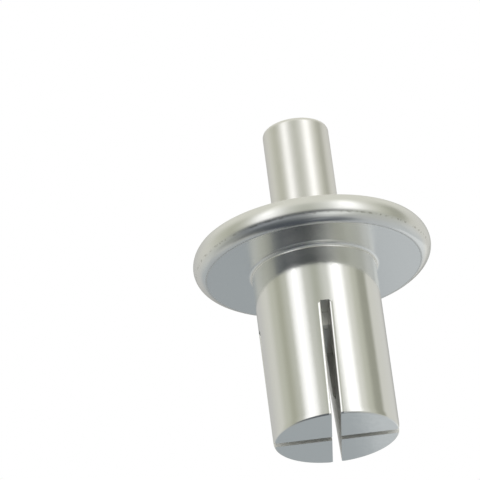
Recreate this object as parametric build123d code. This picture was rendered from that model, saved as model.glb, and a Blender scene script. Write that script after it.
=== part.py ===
from build123d import *
import os
from math import radians, tan

# Drive rivet: a one-piece slotted body and the drive pin that is started in its bore.
# All lengths are in millimetres and all angles in degrees.
# +Z runs along the axis towards the free end of the pin. The origin is on the axis, in the plane of
# the flange's underside, the face that seats on the sheet. The rivet stands on its flat tail, and
# +X runs through the middle of a petal.

# Shank
shank_dia = 6.35  # quarter-inch body, a close fit in the drilled hole
shank_len = 9.25  # from the seat under the flange to the tail
root_fillet = 0.30  # where the shank runs into the flange
tail_edge_height = 0.25  # the tail's outer edge is rolled over this far up the shank
tail_edge_inset = 0.17  # and this far in, where it meets the flat end in a crisp line

# Slots that split the tail into petals
slot_count = 4
slot_width = 0.46
slot_len = 6.15  # up from the tail
slot_lean = 1.9  # each slot leans this much off the axial direction
slot_edge_radius = 0.12  # rounding of the petals' long outer edges

# Flange head, with a full round rim
flange_dia = 12.15
flange_thick = 1.40
belly_height = 0.75  # height of the rim's widest point above the seat
seat_inset = 0.575  # from the widest point in to the flat seat
top_inset = 0.275  # from the widest point in to the flat top
top_edge_radius = 0.10

# Blind bore, drilled from the head
bore_depth = 6.25  # full-diameter depth below the seat
drill_point_angle = 118.0
bore_mouth_chamfer = 0.15

# Drive pin
pin_dia = 3.40
pin_gap = 0.02  # radial gap between the pin and the bore
pin_stand_out = 6.60  # above the flange's top face
pin_reach = 3.97  # below the seat
pin_end_radius = 0.25  # rounding of the struck end
pin_tip_chamfer = 0.18

# Derived places
shank_r = shank_dia / 2
flange_r = flange_dia / 2
pin_r = pin_dia / 2
bore_r = pin_r + pin_gap
tail_z = -shank_len
slot_root_z = tail_z + slot_len


def corner(profile, radius, height):
    """The corner of a profile that lies at this radius and height."""
    return profile.vertices().sort_by_distance((radius, height, 0))[0]


def turned(profile):
    """Turn a closed profile, drawn with X as the radius and Z as the height, about the Z axis."""
    return revolve(profile, axis=Axis.Z)


def headed_blank():
    """The flange and the solid shank, as they come out of the heading die."""
    with BuildSketch(Plane.XZ) as profile:
        with BuildLine():
            top_edge = (flange_r - top_inset, flange_thick)
            belly = (flange_r, belly_height)
            seat_edge = (flange_r - seat_inset, 0)
            Line((0, flange_thick), top_edge)
            TangentArc(belly, top_edge, tangent=(0, 1))
            TangentArc(belly, seat_edge, tangent=(0, -1))
            Polyline(seat_edge, (shank_r, 0), (shank_r, tail_z), (0, tail_z), (0, flange_thick))
        make_face()
        fillet(corner(profile, *top_edge), top_edge_radius)
        fillet(corner(profile, shank_r, 0), root_fillet)
    return turned(profile.sketch)


def bore_cutter():
    """The blind bore with its drill point, and the broken edge at its mouth."""
    point_depth = bore_r / tan(radians(drill_point_angle / 2))
    with BuildSketch(Plane.XZ) as profile:
        with BuildLine():
            Polyline(
                (0, flange_thick),
                (bore_r + bore_mouth_chamfer, flange_thick),
                (bore_r, flange_thick - bore_mouth_chamfer),
                (bore_r, -bore_depth),
                (0, -bore_depth - point_depth),
                close=True,
            )
        make_face()
    return turned(profile.sketch)


def slot_cutters():
    """One blade for each slot, from the axis out through the shank, leaning about its own radius."""
    pitch = 360 / slot_count
    blade = Box(
        flange_r + slot_width,
        slot_width,
        2 * slot_len,
        align=(Align.MIN, Align.CENTER, Align.CENTER),
    )
    blade = Pos(-slot_width / 2, 0, 0) * blade
    blade = Pos(0, 0, tail_z) * Rot(-slot_lean, 0, 0) * blade
    return [Rot(0, 0, pitch * (k + 0.5)) * blade for k in range(slot_count)]


def petal_edges(body):
    """The outer edges that run along both sides of each slot."""
    long_edges = [e for e in body.edges() if e.length > slot_len / 2]
    on_shank = [e for e in long_edges if abs((e @ 0.5).Z - (tail_z + slot_root_z) / 2) < slot_len / 4]
    return [e for e in on_shank if Vector((e @ 0.5).X, (e @ 0.5).Y).length > (shank_r + bore_r) / 2]


def tail_edge_cutter():
    """The ring that is taken off the tail to leave its outer edge rolled over."""
    with BuildSketch(Plane.XZ) as profile:
        with BuildLine():
            roll_start = (shank_r, tail_z + tail_edge_height)
            end_edge = (shank_r - tail_edge_inset, tail_z)
            below = tail_z - tail_edge_height
            TangentArc(roll_start, end_edge, tangent=(0, -1))
            Polyline(
                end_edge,
                (end_edge[0], below),
                (flange_r, below),
                (flange_r, roll_start[1]),
                roll_start,
            )
        make_face()
    return turned(profile.sketch)


def rivet_body():
    """Flange, shank, bore and slotted tail: one piece of metal."""
    body = headed_blank() - bore_cutter()
    body -= slot_cutters()
    edges = petal_edges(body)
    body = fillet(edges, min(slot_edge_radius, slot_width / 3))
    return body - tail_edge_cutter()


def drive_pin():
    """The plain pin, with a rounded struck end and a chamfered tip."""
    tip_z = -pin_reach
    end_z = flange_thick + pin_stand_out
    with BuildSketch(Plane.XZ) as profile:
        with BuildLine():
            Polyline(
                (0, tip_z),
                (pin_r - pin_tip_chamfer, tip_z),
                (pin_r, tip_z + pin_tip_chamfer),
                (pin_r, end_z),
                (0, end_z),
                close=True,
            )
        make_face()
        fillet(corner(profile, pin_r, end_z), pin_end_radius)
    return turned(profile.sketch)


os.makedirs("parts", exist_ok=True)
export_step(rivet_body(), "parts/rivet_body.step")
export_step(drive_pin(), "parts/drive_pin.step")
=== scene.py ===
import math

import bpy
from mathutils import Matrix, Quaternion, Vector


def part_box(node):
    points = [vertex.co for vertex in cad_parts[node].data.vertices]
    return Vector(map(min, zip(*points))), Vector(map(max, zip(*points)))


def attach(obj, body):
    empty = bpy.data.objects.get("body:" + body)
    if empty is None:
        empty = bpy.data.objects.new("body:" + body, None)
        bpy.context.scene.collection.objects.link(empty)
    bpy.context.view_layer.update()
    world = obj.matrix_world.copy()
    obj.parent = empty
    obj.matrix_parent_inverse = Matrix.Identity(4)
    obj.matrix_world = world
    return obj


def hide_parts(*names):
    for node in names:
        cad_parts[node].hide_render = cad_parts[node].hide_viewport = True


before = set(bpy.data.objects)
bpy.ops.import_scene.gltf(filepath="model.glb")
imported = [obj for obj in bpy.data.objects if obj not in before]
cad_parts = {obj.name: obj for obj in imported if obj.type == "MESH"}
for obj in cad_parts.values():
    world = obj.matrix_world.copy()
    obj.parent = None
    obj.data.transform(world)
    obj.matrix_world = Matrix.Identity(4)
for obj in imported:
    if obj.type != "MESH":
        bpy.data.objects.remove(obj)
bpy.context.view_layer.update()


# ---------------------------------------------------------------- rivet body
# The body is one piece of aluminium wire, headed in a die into a flange with a full round rim,
# drilled from the head nearly to the tail, and slit crosswise so that the tail is four petals.

MM = 0.001
body_low, body_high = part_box("rivet_body")
pin_low, pin_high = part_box("drive_pin")

tail_z = body_low.z
top_z = body_high.z
flange_r = body_high.x
shank_r = 3.175 * MM
root_radius = 0.18 * MM
tail_fade_radius = 0.80 * MM
tail_corner_radius = 0.10 * MM
belly_z = 0.75 * MM
seat_inset = 0.575 * MM
top_inset = 0.275 * MM
top_edge_radius = 0.10 * MM
border = 0.02 * MM
pin_gap = 0.02 * MM
bore_r = pin_high.x + pin_gap
bore_mouth = 0.15 * MM
bore_end_z = -6.25 * MM
drill_point_angle = math.radians(118)

slot_half = 0.23 * MM
slot_len = 6.15 * MM
slot_lean = math.radians(1.9)
slot_angles = [math.radians(45 + 90 * k) for k in range(4)]

# The petals' long edges are rolled: each stretch turns from one angle to another, in degrees from
# the slot's wall, over its length.
slot_edge_stretches = [(0, 63, 0.03 * MM), (63, 80, 0.10 * MM), (80, 97, 0.05 * MM)]
slot_edge_depth = 0.06 * MM

# A broken line round the rim where die and punch met. The mark is real, but the material paints it
# darker, and that darkness is painted shade standing in for its fold, which the mesh does not have.
die_line_z = 0.36 * MM
die_line_width = 0.07 * MM

AROUND = 384
HAIR = 0.01 * MM


def deselect_all():
    """Nothing is selected, so that the next primitive is the only thing worked on."""
    if bpy.context.object and bpy.context.object.mode != "OBJECT":
        bpy.ops.object.mode_set(mode="OBJECT")
    bpy.ops.object.select_all(action="DESELECT")


def work_on(piece):
    """Only this piece is selected, and it is the active one."""
    deselect_all()
    piece.select_set(True)
    bpy.context.view_layer.objects.active = piece


def arc(centre, radius, start, end, steps):
    """Points round an arc in the radius and height plane, from the start angle to the end angle."""
    angles = [start + (end - start) * k / steps for k in range(steps + 1)]
    return [(centre[0] + radius * math.cos(a), centre[1] + radius * math.sin(a)) for a in angles]


def build_up(name, rings, around=AROUND):
    """A turned form: a disc is drawn along the axis ring by ring, and closed to a point."""
    deselect_all()
    first_r, first_z = rings[0]
    bpy.ops.mesh.primitive_circle_add(
        vertices=around, radius=first_r, fill_type="NGON", location=(0, 0, first_z)
    )
    piece = bpy.context.object
    piece.name = name
    bpy.ops.object.transform_apply(location=True)
    bpy.ops.object.mode_set(mode="EDIT")
    bpy.ops.mesh.select_all(action="SELECT")
    before_r, before_z = first_r, first_z
    for ring_r, ring_z in rings[1:]:
        bpy.ops.mesh.extrude_region_move(
            TRANSFORM_OT_translate={"value": (0, 0, ring_z - before_z)}
        )
        if ring_r > 0:
            grow = ring_r / before_r
            bpy.ops.transform.resize(value=(grow, grow, 1), center_override=(0, 0, ring_z))
            before_r = ring_r
        else:
            bpy.ops.mesh.merge(type="CENTER")
        before_z = ring_z
    bpy.ops.mesh.select_all(action="SELECT")
    bpy.ops.mesh.normals_make_consistent(inside=False)
    bpy.ops.object.mode_set(mode="OBJECT")
    return piece


def rolled(height, inset):
    """The radius of an arc that leaves a wall at a tangent and comes in by inset over height."""
    return (height * height + inset * inset) / (2 * inset)


# The outline, from the middle of the tail out, up, round the rim and down the bore. Each flat or
# straight stretch has a narrow border where it runs into an arc, so that its shading stays flat.
seat_roll = rolled(belly_z, seat_inset)
top_roll = rolled(top_z - belly_z, top_inset)
top_corner_rise = top_z - top_edge_radius - belly_z
top_corner_angle = math.asin(top_corner_rise / (top_roll - top_edge_radius))
top_corner_r = flange_r - top_roll + (top_roll - top_edge_radius) * math.cos(top_corner_angle)
shank_rings = 24
shank_top = -root_radius

# The tail's edge: a slow roll in by 15 degrees, and then a tight corner onto the end.
fade = math.radians(15)
corner_end = math.radians(75)
fade_end_z = tail_z + tail_corner_radius * (math.sin(corner_end) - math.sin(fade))
shank_bottom = fade_end_z + tail_fade_radius * math.sin(fade)
corner_centre = (
    shank_r - tail_fade_radius + (tail_fade_radius - tail_corner_radius) * math.cos(fade),
    fade_end_z + tail_corner_radius * math.sin(fade),
)
tail_edge = arc(corner_centre, tail_corner_radius, -corner_end, -fade, steps=6)
tail_edge += arc(
    (shank_r - tail_fade_radius, shank_bottom), tail_fade_radius, -fade, 0, steps=6
)[1:]

rings = [(tail_edge[0][0] - border, tail_z)]
rings += tail_edge
rings += [(shank_r, shank_bottom + border)]
rings += [
    (shank_r, shank_bottom + (shank_top - shank_bottom) * k / shank_rings)
    for k in range(1, shank_rings)
]
rings += [(shank_r, shank_top - border)]
rings += arc(
    (shank_r + root_radius, -root_radius), root_radius, math.pi, math.pi / 2, steps=10
)
rings += [(shank_r + root_radius + border, 0), (flange_r - seat_inset - border, 0)]
rings += arc(
    (flange_r - seat_roll, belly_z), seat_roll, -math.asin(belly_z / seat_roll), 0, steps=24
)
rings += arc((flange_r - top_roll, belly_z), top_roll, 0, top_corner_angle, steps=12)[1:]
rings += arc(
    (top_corner_r, top_z - top_edge_radius),
    top_edge_radius,
    top_corner_angle,
    math.pi / 2,
    steps=8,
)[1:]
rings += [
    (top_corner_r - border, top_z),
    (bore_r + bore_mouth, top_z),
    (bore_r, top_z - bore_mouth),
    (bore_r, bore_end_z),
    (0, bore_end_z - bore_r / math.tan(drill_point_angle / 2)),
]
rivet_body = build_up("rivet_body_turned", rings)


def select_faces(piece, test):
    """Select the faces whose centre and normal pass the test, and go back to edit mode."""
    bpy.ops.object.mode_set(mode="EDIT")
    bpy.ops.mesh.select_mode(type="FACE")
    bpy.ops.mesh.select_all(action="DESELECT")
    bpy.ops.object.mode_set(mode="OBJECT")
    for face in piece.data.polygons:
        face.select = test(face.center, face.normal)
    bpy.ops.object.mode_set(mode="EDIT")


def slitting_blade():
    """A saw blade along +X that flares at the shank's surface, so it rolls the edges it leaves."""
    flare = [(0, slot_half)]
    facets = 5
    for from_angle, to_angle, length in slot_edge_stretches:
        for k in range(facets):
            angle = math.radians(from_angle + (to_angle - from_angle) * (k + 0.5) / facets)
            x, y = flare[-1]
            step = length / facets
            flare.append((x + step * math.cos(angle), y + step * math.sin(angle)))
    tangent = math.asin(flare[-1][1] / shank_r)
    corner_x = shank_r * math.cos(tangent) - flare[-1][0]
    flare = [(corner_x + x, y) for x, y in flare]
    run_off = 0.5 * MM
    flare += [
        (
            flare[-1][0] - run_off * math.sin(tangent),
            flare[-1][1] + run_off * math.cos(tangent),
        ),
        (shank_r + 2 * run_off, flare[-1][1] + run_off * math.cos(tangent)),
    ]
    deselect_all()
    bpy.ops.mesh.primitive_plane_add(size=1, location=(0, 0, tail_z - run_off))
    blade = bpy.context.object
    blade.scale = (corner_x + slot_half, 2 * slot_half, 1)
    blade.location.x = (corner_x - slot_half) / 2
    bpy.ops.object.transform_apply(location=True, scale=True)
    bpy.ops.object.mode_set(mode="EDIT")
    bpy.ops.mesh.select_mode(type="EDGE")
    bpy.ops.mesh.select_all(action="DESELECT")
    bpy.ops.object.mode_set(mode="OBJECT")
    for edge in blade.data.edges:
        ends = [blade.data.vertices[v].co.x for v in edge.vertices]
        edge.select = min(ends) > corner_x - HAIR
    bpy.ops.object.mode_set(mode="EDIT")
    before_x, before_y = corner_x, slot_half
    for x, y in flare[1:]:
        bpy.ops.mesh.extrude_region_move(TRANSFORM_OT_translate={"value": (x - before_x, 0, 0)})
        bpy.ops.transform.resize(value=(1, y / before_y, 1), center_override=(x, 0, 0))
        before_x, before_y = x, y

    # The flare follows the tail's rolled edge in, so the petals' corners are rolled there too. At
    # the root it runs out of the shank, so the roll dies away there.
    levels = [(tail_z - run_off, shank_r - tail_edge[0][0])]
    levels += [(edge_z, shank_r - edge_r) for edge_r, edge_z in tail_edge]
    root_z = tail_z + slot_len
    straight_end_z = root_z - 0.15 * MM
    run_out = [(root_z - 0.08 * MM, -0.03 * MM), (root_z, -0.08 * MM)]
    level_count = 22
    reach = straight_end_z - shank_bottom
    levels += [(shank_bottom + reach * k / level_count, 0) for k in range(1, level_count + 1)]
    levels += run_out
    turn = math.asin(slot_len * math.tan(slot_lean) / shank_r) / slot_len
    bpy.ops.mesh.select_all(action="SELECT")
    bpy.ops.transform.resize(
        value=((corner_x - levels[0][1]) / corner_x, 1, 1), center_override=(0, 0, 0)
    )
    bpy.ops.transform.rotate(
        value=turn * run_off, orient_axis="Z", center_override=(0, 0, 0)
    )
    for (from_z, from_inset), (to_z, to_inset) in zip(levels, levels[1:]):
        bpy.ops.mesh.extrude_region_move(
            TRANSFORM_OT_translate={"value": (0, 0, to_z - from_z)}
        )
        spread = (corner_x - to_inset) / (corner_x - from_inset)
        bpy.ops.transform.resize(value=(spread, 1, 1), center_override=(0, 0, 0))
        bpy.ops.transform.rotate(
            value=-turn * (to_z - from_z), orient_axis="Z", center_override=(0, 0, 0)
        )
    bpy.ops.mesh.select_all(action="SELECT")
    bpy.ops.mesh.normals_make_consistent(inside=False)
    bpy.ops.object.mode_set(mode="OBJECT")
    return blade


blade = slitting_blade()
for slot_angle in slot_angles:
    work_on(rivet_body)
    blade.rotation_euler.z = slot_angle
    bpy.context.view_layer.update()
    slit = rivet_body.modifiers.new("slit", "BOOLEAN")
    slit.operation = "DIFFERENCE"
    slit.solver = "MANIFOLD"
    slit.object = blade
    bpy.ops.object.modifier_apply(modifier=slit.name)
bpy.data.objects.remove(blade)

# The cuts leave slivers of no width where they pass close to an edge of the shank. They go.
sliver_width = 0.0005 * MM
work_on(rivet_body)
bpy.ops.object.mode_set(mode="EDIT")
bpy.ops.mesh.select_all(action="SELECT")
bpy.ops.mesh.dissolve_degenerate(threshold=sliver_width)
bpy.ops.object.mode_set(mode="OBJECT")


def smooth(piece, sharp_angle=28):
    """Round stretches shade smooth, and edges sharper than the angle in degrees stay crisp.

    The widest faces, such as the petals' flat ends, keep their own normal up to their edges.
    """
    work_on(piece)
    bpy.ops.object.shade_smooth_by_angle(angle=math.radians(sharp_angle))
    weigh = piece.modifiers.new("weigh", "WEIGHTED_NORMAL")
    weigh.keep_sharp = True
    weigh.weight = 50
    bpy.ops.object.modifier_apply(modifier=weigh.name)


smooth(rivet_body)


def srgb(hex_colour):
    """A colour written as sRGB hex, as the linear values that the shaders take."""
    parts = [int(hex_colour[i : i + 2], 16) / 255 for i in (1, 3, 5)]
    linear = [p / 12.92 if p <= 0.04045 else ((p + 0.055) / 1.055) ** 2.4 for p in parts]
    return (*linear, 1.0)


def add_node(tree, kind, inputs=None, **settings):
    """A shader node with its settings, and each input either set or linked."""
    node = tree.nodes.new(kind)
    for name, value in settings.items():
        setattr(node, name, value)
    for name, value in (inputs or {}).items():
        if isinstance(value, bpy.types.NodeSocket):
            tree.links.new(value, node.inputs[name])
        else:
            node.inputs[name].default_value = value
    return node


def distance_from_ring(tree, place, ring_r, ring_z):
    """How far a point of the surface is from a circle round the axis."""
    height = add_node(tree, "ShaderNodeSeparateXYZ", {0: place}).outputs["Z"]
    flat = add_node(
        tree, "ShaderNodeVectorMath", {0: place, 1: (1, 1, 0)}, operation="MULTIPLY"
    )
    radius = add_node(tree, "ShaderNodeVectorMath", {0: flat.outputs[0]}, operation="LENGTH")
    out = add_node(
        tree, "ShaderNodeMath", {0: radius.outputs["Value"], 1: ring_r}, operation="SUBTRACT"
    )
    up = add_node(tree, "ShaderNodeMath", {0: height, 1: ring_z}, operation="SUBTRACT")
    both = add_node(tree, "ShaderNodeCombineXYZ", {0: out.outputs[0], 1: up.outputs[0]})
    return add_node(
        tree, "ShaderNodeVectorMath", {0: both.outputs[0]}, operation="LENGTH"
    ).outputs["Value"]


def headed_aluminium():
    """Aluminium as it leaves the heading die and the tumbler.

    The eye gets soft reflections with a faint grain, duller on the rim and the seat that the die
    pressed, dull lines where its corners rubbed, and a broken line where die and punch met. That
    line is a real mark, but its darker colour is painted shade standing in for its unmodelled fold.
    Grain and dents are drawn coarser than the real ones, so that they show at all.
    """
    grain_size = 0.45 * MM
    nick_length = 0.22 * MM
    dent_size = 0.30 * MM
    dent_depth = 0.0016 * MM
    material = bpy.data.materials.new("headed_aluminium")
    material.use_nodes = True
    tree = material.node_tree
    tree.nodes.clear()
    place = add_node(tree, "ShaderNodeTexCoord").outputs["Object"]
    grain = add_node(
        tree,
        "ShaderNodeTexNoise",
        {"Vector": place, "Scale": 1 / grain_size, "Detail": 4.0, "Roughness": 0.6},
    )
    roughness = add_node(
        tree,
        "ShaderNodeMapRange",
        {
            "Value": grain.outputs["Fac"],
            "From Min": 0.3,
            "From Max": 0.7,
            "To Min": 0.10,
            "To Max": 0.15,
        },
    ).outputs["Result"]

    # Where the die dulled the metal: the radius and height of a ring, its width, its roughness.
    seat_edge_r = flange_r - seat_inset
    rim = (flange_r, belly_z, 1.00 * MM, 0.26)
    seat = ((shank_r + seat_edge_r) / 2, 0, 2.00 * MM, 0.21)
    seat_edge = (seat_edge_r, 0, 0.07 * MM, 0.50)
    root = (shank_r + 0.03 * MM, -0.09 * MM, 0.07 * MM, 0.45)
    for ring_r, ring_z, width, dullness in (rim, seat, seat_edge, root):
        rubbed = add_node(
            tree,
            "ShaderNodeMapRange",
            {
                "Value": distance_from_ring(tree, place, ring_r, ring_z),
                "From Min": 0.5 * width,
                "From Max": width,
                "To Min": dullness,
                "To Max": 0.0,
            },
            interpolation_type="SMOOTHSTEP",
        ).outputs["Result"]
        roughness = add_node(
            tree, "ShaderNodeMath", {0: roughness, 1: rubbed}, operation="MAXIMUM"
        ).outputs[0]

    die_line_r = flange_r - seat_roll + math.sqrt(seat_roll**2 - (belly_z - die_line_z) ** 2)
    on_line = add_node(
        tree,
        "ShaderNodeMapRange",
        {
            "Value": distance_from_ring(tree, place, die_line_r, die_line_z),
            "From Min": 0.3 * die_line_width,
            "From Max": die_line_width,
            "To Min": 1.0,
            "To Max": 0.0,
        },
        interpolation_type="SMOOTHSTEP",
    )
    nicks = add_node(
        tree, "ShaderNodeTexNoise", {"Vector": place, "Scale": 1 / nick_length, "Detail": 1.0}
    )
    broken = add_node(
        tree,
        "ShaderNodeMapRange",
        {"Value": nicks.outputs["Fac"], "From Min": 0.48, "From Max": 0.64, "To Max": 0.45},
    )
    die_line_mark_and_shade = add_node(
        tree,
        "ShaderNodeMath",
        {0: on_line.outputs["Result"], 1: broken.outputs["Result"]},
        operation="MULTIPLY",
    )
    # Painted shade: the die line's darker colour stands in for the shade in its fold, which is not
    # modelled. The line itself is a real mark.
    colour = add_node(
        tree,
        "ShaderNodeMix",
        {0: die_line_mark_and_shade.outputs[0], 6: srgb("#EEEEEB"), 7: srgb("#A09E96")},
        data_type="RGBA",
    )
    dents = add_node(
        tree, "ShaderNodeTexNoise", {"Vector": place, "Scale": 1 / dent_size, "Detail": 2.0}
    )
    peened = add_node(
        tree, "ShaderNodeBump", {"Height": dents.outputs["Fac"], "Distance": dent_depth}
    )
    shader = add_node(
        tree,
        "ShaderNodeBsdfPrincipled",
        {
            "Base Color": colour.outputs[2],
            "Metallic": 1.0,
            "Roughness": roughness,
            "Normal": peened.outputs["Normal"],
        },
    )
    add_node(tree, "ShaderNodeOutputMaterial", {"Surface": shader.outputs["BSDF"]})
    return material


def cut_aluminium():
    """The sawn slots and the drilled bore: bright but torn metal, with no clear reflection."""
    tear_size = 0.12 * MM
    material = bpy.data.materials.new("cut_aluminium")
    material.use_nodes = True
    tree = material.node_tree
    tree.nodes.clear()
    place = add_node(tree, "ShaderNodeTexCoord").outputs["Object"]
    tears = add_node(
        tree,
        "ShaderNodeTexNoise",
        {"Vector": place, "Scale": 1 / tear_size, "Detail": 2.0},
    )
    roughness = add_node(
        tree,
        "ShaderNodeMapRange",
        {"Value": tears.outputs["Fac"], "To Min": 0.42, "To Max": 0.52},
    )
    shader = add_node(
        tree,
        "ShaderNodeBsdfPrincipled",
        {
            "Base Color": srgb("#F2F2F0"),
            "Metallic": 1.0,
            "Roughness": roughness.outputs["Result"],
        },
    )
    add_node(tree, "ShaderNodeOutputMaterial", {"Surface": shader.outputs["BSDF"]})
    return material


def is_cut(centre, normal):
    """True on the walls and roots of the slots, and in the bore."""
    radius = math.hypot(centre.x, centre.y)
    outward = (centre.x * normal.x + centre.y * normal.y) / radius
    inside = radius < shank_r - slot_edge_depth and tail_z < centre.z
    across = inside and abs(outward) < 0.5 and abs(normal.z) < 0.5
    root = inside and normal.z < -0.9 and centre.z > tail_z + 0.5 * slot_len
    bored = radius < bore_r + HAIR and outward < -0.2
    return across or root or bored


select_faces(rivet_body, is_cut)
rivet_body.data.materials.clear()
rivet_body.data.materials.append(headed_aluminium())
rivet_body.data.materials.append(cut_aluminium())
rivet_body.active_material_index = 1
bpy.ops.object.material_slot_assign()
bpy.ops.object.mode_set(mode="OBJECT")
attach(rivet_body, "root")
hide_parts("rivet_body")


# ----------------------------------------------------------------- drive pin
# A plain pin cut from drawn wire, started in the bore. Its struck end is rounded by tumbling and
# its tip is chamfered to lead in, and the shaft keeps the soft shine of drawn wire.

pin_r = pin_high.x
pin_end_z = pin_high.z
pin_tip_z = pin_low.z
pin_end_radius = 0.25 * MM
pin_tip_chamfer = 0.18 * MM
pin_tip_edge_radius = 0.05 * MM
pin_tip_edge_reach = 0.02 * MM
pin_end_middle_r = 0.2 * MM

# Both edges of the tip's chamfer are rounded, and reach a little past it.
pin_tip_flat_r = pin_r - pin_tip_chamfer - pin_tip_edge_reach
pin_wall_z = pin_tip_z + pin_tip_chamfer + pin_tip_edge_reach
pin_rings = [(pin_tip_flat_r - border, pin_tip_z)]
pin_rings += arc(
    (pin_tip_flat_r, pin_tip_z + pin_tip_edge_radius),
    pin_tip_edge_radius,
    -math.pi / 2,
    -math.pi / 4,
    steps=4,
)
pin_rings += arc(
    (pin_r - pin_tip_edge_radius, pin_wall_z), pin_tip_edge_radius, -math.pi / 4, 0, steps=4
)
pin_rings += [(pin_r, pin_wall_z + border), (pin_r, pin_end_z - pin_end_radius - border)]
pin_rings += arc(
    (pin_r - pin_end_radius, pin_end_z - pin_end_radius),
    pin_end_radius,
    0,
    math.pi / 2,
    steps=10,
)
pin_rings += [
    (pin_r - pin_end_radius - border, pin_end_z),
    (pin_end_middle_r, pin_end_z),
    (0, pin_end_z),
]
drive_pin = build_up("drive_pin_drawn", pin_rings, around=256)
smooth(drive_pin)


def drawn_aluminium():
    """Drawn wire: a soft even shine, hazier than on the headed body."""
    grain_size = 0.5 * MM
    material = bpy.data.materials.new("drawn_aluminium")
    material.use_nodes = True
    tree = material.node_tree
    tree.nodes.clear()
    place = add_node(tree, "ShaderNodeTexCoord")
    grain = add_node(
        tree,
        "ShaderNodeTexNoise",
        {"Vector": place.outputs["Object"], "Scale": 1 / grain_size, "Detail": 3.0},
    )
    roughness = add_node(
        tree,
        "ShaderNodeMapRange",
        {"Value": grain.outputs["Fac"], "To Min": 0.28, "To Max": 0.36},
    )
    shader = add_node(
        tree,
        "ShaderNodeBsdfPrincipled",
        {
            "Base Color": srgb("#F1F0EC"),
            "Metallic": 1.0,
            "Roughness": roughness.outputs["Result"],
        },
    )
    add_node(tree, "ShaderNodeOutputMaterial", {"Surface": shader.outputs["BSDF"]})
    return material


drive_pin.data.materials.clear()
drive_pin.data.materials.append(drawn_aluminium())
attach(drive_pin, "root")
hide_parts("drive_pin")


# --------------------------------------------------------------------- floor
# A plain pale sheet under the tail. It is seen, and takes the rivet's shadow, from above. From
# below it is clear, so that a camera under the rivet looks up past it at the white studio.

deselect_all()
floor_half = 120 * MM
bpy.ops.mesh.primitive_plane_add(size=2 * floor_half, location=(0, 0, tail_z))
floor = bpy.context.object
floor.name = "floor_sheet"
bpy.ops.object.transform_apply(location=True)
floor_material = bpy.data.materials.new("pale_sheet")
floor_material.use_nodes = True
tree = floor_material.node_tree
tree.nodes.clear()
ray = add_node(tree, "ShaderNodeLightPath")
side = add_node(tree, "ShaderNodeNewGeometry")
from_above = add_node(
    tree, "ShaderNodeMath", {0: 1.0, 1: side.outputs["Backfacing"]}, operation="SUBTRACT"
)
seen = add_node(
    tree,
    "ShaderNodeMath",
    {0: from_above.outputs[0], 1: ray.outputs["Is Camera Ray"]},
    operation="MULTIPLY",
)
clear = add_node(tree, "ShaderNodeBsdfTransparent")
pale = add_node(tree, "ShaderNodeBsdfDiffuse", {"Color": srgb("#F4F4F2")})
mix = add_node(
    tree,
    "ShaderNodeMixShader",
    {0: seen.outputs[0], 1: clear.outputs[0], 2: pale.outputs[0]},
)
add_node(tree, "ShaderNodeOutputMaterial", {"Surface": mix.outputs[0]})
floor.data.materials.append(floor_material)


# -------------------------------------------------------------------- camera
# A long lens from below and in front, so the slotted tail and the flange's underside both show.

camera_azimuth = math.radians(42.5)
camera_elevation = math.radians(-24.95)
camera_roll = math.radians(7.8)
camera_distance = 200 * MM
frame_width = 24.33 * MM
right_of_middle = 3.75 * MM
below_middle = 1.567 * MM

toward_camera = Vector(
    (
        math.sin(camera_azimuth) * math.cos(camera_elevation),
        -math.cos(camera_azimuth) * math.cos(camera_elevation),
        math.sin(camera_elevation),
    )
)
camera_data = bpy.data.cameras.new("camera")
camera_data.sensor_width = 36
camera_data.lens = camera_data.sensor_width * camera_distance / frame_width
camera_data.clip_start = 0.01
camera_data.clip_end = 10
camera = bpy.data.objects.new("camera", camera_data)
bpy.context.scene.collection.objects.link(camera)
camera.location = toward_camera * camera_distance
level = (-toward_camera).to_track_quat("-Z", "Y")
tipped = Quaternion(toward_camera, -camera_roll) @ level
aim = tipped @ Vector((-right_of_middle, below_middle, 0))
swing = (-toward_camera).rotation_difference(aim - camera.location)
camera.rotation_mode = "QUATERNION"
camera.rotation_quaternion = swing @ tipped
bpy.context.scene.camera = camera


# -------------------------------------------------------------------- studio
# A light tent with a tall softbox on either side of the camera, a dark table with a lit edge
# below it, and a white card low on the right behind the rivet. What the metal mirrors is this
# tent, while the camera itself sees plain white.

world = bpy.data.worlds.new("light_tent")
bpy.context.scene.world = world
world.use_nodes = True
tree = world.node_tree
tree.nodes.clear()
tent_strength = 1.3


def compass(azimuth, elevation):
    """A direction from the rivet, with its azimuth counted from the camera's own side."""
    a = camera_azimuth + math.radians(azimuth)
    e = math.radians(elevation)
    return Vector((math.sin(a) * math.cos(e), -math.cos(a) * math.cos(e), math.sin(e)))


def tent_band(stops):
    """The colours of the tent all the way round, by azimuth from the camera's side."""
    band = add_node(tree, "ShaderNodeValToRGB", {0: round_tent.outputs["Result"]})
    ramp = band.color_ramp
    ramp.interpolation = "EASE"
    for azimuth, colour in stops[1:-1]:
        ramp.elements.new((azimuth + 180) / 360).color = srgb(colour)
    ramp.elements[0].color = srgb(stops[0][1])
    ramp.elements[-1].color = srgb(stops[-1][1])
    return band.outputs["Color"]


def between(below, above, from_elevation, to_elevation):
    """One part of the tent passing into the next as it rises."""
    share = add_node(
        tree,
        "ShaderNodeMapRange",
        {
            "Value": rise.outputs["Z"],
            "From Min": math.sin(math.radians(from_elevation)),
            "From Max": math.sin(math.radians(to_elevation)),
        },
        interpolation_type="SMOOTHSTEP",
    )
    return add_node(
        tree,
        "ShaderNodeMix",
        {0: share.outputs["Result"], 6: below, 7: above},
        data_type="RGBA",
    ).outputs[2]


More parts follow.
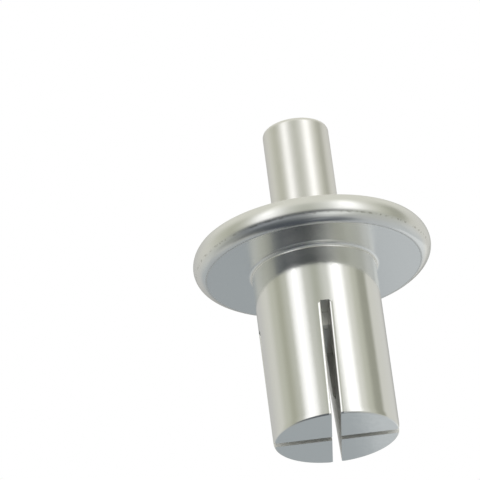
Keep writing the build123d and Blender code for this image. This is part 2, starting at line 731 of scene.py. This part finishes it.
gaze = add_node(tree, "ShaderNodeTexCoord").outputs["Generated"]
rise = add_node(tree, "ShaderNodeSeparateXYZ", {0: gaze})
aside = add_node(
    tree, "ShaderNodeVectorMath", {0: gaze, 1: compass(90, 0)}, operation="DOT_PRODUCT"
)
ahead = add_node(
    tree, "ShaderNodeVectorMath", {0: gaze, 1: compass(0, 0)}, operation="DOT_PRODUCT"
)
azimuth = add_node(
    tree,
    "ShaderNodeMath",
    {0: aside.outputs["Value"], 1: ahead.outputs["Value"]},
    operation="ARCTAN2",
)
round_tent = add_node(
    tree,
    "ShaderNodeMapRange",
    {"Value": azimuth.outputs[0], "From Min": -math.pi, "From Max": math.pi},
)
underfoot = tent_band(
    [
        (-180, "#42464C"),
        (-60, "#44484E"),
        (-8, "#4E5256"),
        (22, "#5A5C5E"),
        (40, "#7A7E82"),
        (110, "#62666A"),
        (150, "#4A4E54"),
        (180, "#42464C"),
    ]
)
table_edge = tent_band(
    [
        (-180, "#60646A"),
        (-145, "#9A9EA0"),
        (-125, "#9C9E9C"),
        (-98, "#686A6A"),
        (-70, "#4C5054"),
        (-38, "#54585C"),
        (0, "#666A6C"),
        (18, "#AAACAC"),
        (30, "#C4C6C6"),
        (52, "#9C9E9C"),
        (82, "#A4A6A6"),
        (140, "#A6AAAC"),
        (160, "#9C9FA2"),
        (180, "#60646A"),
    ]
)
lit_edge = tent_band(
    [
        (-180, "#7A7E84"),
        (-145, "#9CA0A2"),
        (-125, "#A8AAA8"),
        (-98, "#8A8C88"),
        (-70, "#6C7074"),
        (-50, "#80848A"),
        (-30, "#84888C"),
        (-15, "#7A7E82"),
        (-2, "#7C8082"),
        (8, "#A0A2A2"),
        (18, "#DCDEDE"),
        (40, "#DCDEDC"),
        (55, "#A8AAA6"),
        (82, "#A6A8A5"),
        (140, "#ACB0B2"),
        (160, "#A0A4A7"),
        (180, "#7A7E84"),
    ]
)
below_eye = tent_band(
    [
        (-180, "#92989C"),
        (-158, "#9CA1A4"),
        (-128, "#B4B6B4"),
        (-98, "#AAACA6"),
        (-82, "#989A94"),
        (-66, "#5E6266"),
        (-50, "#30343A"),
        (-20, "#20242A"),
        (0, "#262A30"),
        (20, "#36393C"),
        (36, "#6C6E6C"),
        (52, "#8E9088"),
        (80, "#A8AAA4"),
        (100, "#A8AAA6"),
        (120, "#BABCBC"),
        (150, "#AEB2B4"),
        (180, "#92989C"),
    ]
)
eye_level = tent_band(
    [
        (-180, "#90908E"),
        (-150, "#B0B0AE"),
        (-110, "#BEBEB8"),
        (-90, "#ACADA2"),
        (-74, "#9A9B8E"),
        (-58, "#ACADA4"),
        (-44, "#F0F0F0"),
        (-38, "#FFFFFF"),
        (-30, "#F0F0F0"),
        (-18, "#B6B7B1"),
        (0, "#9EA096"),
        (20, "#BEBFBA"),
        (34, "#FFFFFF"),
        (46, "#FFFFFF"),
        (58, "#C8C8C2"),
        (74, "#ACADA2"),
        (88, "#8E8F84"),
        (98, "#8C8D82"),
        (109, "#BEBEB8"),
        (140, "#BEBEBA"),
        (180, "#90908E"),
    ]
)
overhead = srgb("#C4C4BC")
tent = between(underfoot, table_edge, -76, -60)
tent = between(tent, lit_edge, -54, -45)
tent = between(tent, below_eye, -34, -28)
tent = between(tent, eye_level, -22, -6)
tent = between(tent, overhead, 27, 58)
ray = add_node(tree, "ShaderNodeLightPath")
tent_light = add_node(tree, "ShaderNodeBackground", {"Color": tent, "Strength": tent_strength})
white = add_node(tree, "ShaderNodeBackground", {"Color": (1, 1, 1, 1), "Strength": 1.0})
both = add_node(
    tree,
    "ShaderNodeMixShader",
    {0: ray.outputs["Is Camera Ray"], 1: tent_light.outputs[0], 2: white.outputs[0]},
)
add_node(tree, "ShaderNodeOutputWorld", {"Surface": both.outputs[0]})


def softbox(name, place, width, height, radiance):
    """A lamp that faces the rivet, as bright all over as the radiance says."""
    lamp_data = bpy.data.lights.new(name, "AREA")
    lamp_data.shape = "RECTANGLE"
    lamp_data.size = width
    lamp_data.size_y = height
    lamp_data.energy = radiance * math.pi * width * height
    lamp = bpy.data.objects.new(name, lamp_data)
    bpy.context.scene.collection.objects.link(lamp)
    lamp.location = place
    lamp.rotation_mode = "QUATERNION"
    lamp.rotation_quaternion = (-lamp.location).to_track_quat("-Z", "Y")
    lamp.visible_camera = False


softbox_distance = 300 * MM
card_place = compass(180, -25) * 60 * MM + compass(90, 0) * 22 * MM
softbox(
    "left_softbox",
    compass(-37, 38) * softbox_distance,
    width=30 * MM,
    height=260 * MM,
    radiance=0.3,
)
softbox(
    "right_softbox",
    compass(40, 30) * softbox_distance,
    width=40 * MM,
    height=200 * MM,
    radiance=0.3,
)
softbox("low_card", card_place, width=40 * MM, height=50 * MM, radiance=0.18)

# More mirror bounces than usual, so that light finds its way into the narrow slots.
scene = bpy.context.scene
scene.cycles.glossy_bounces = 12
scene.view_settings.view_transform = "Standard"
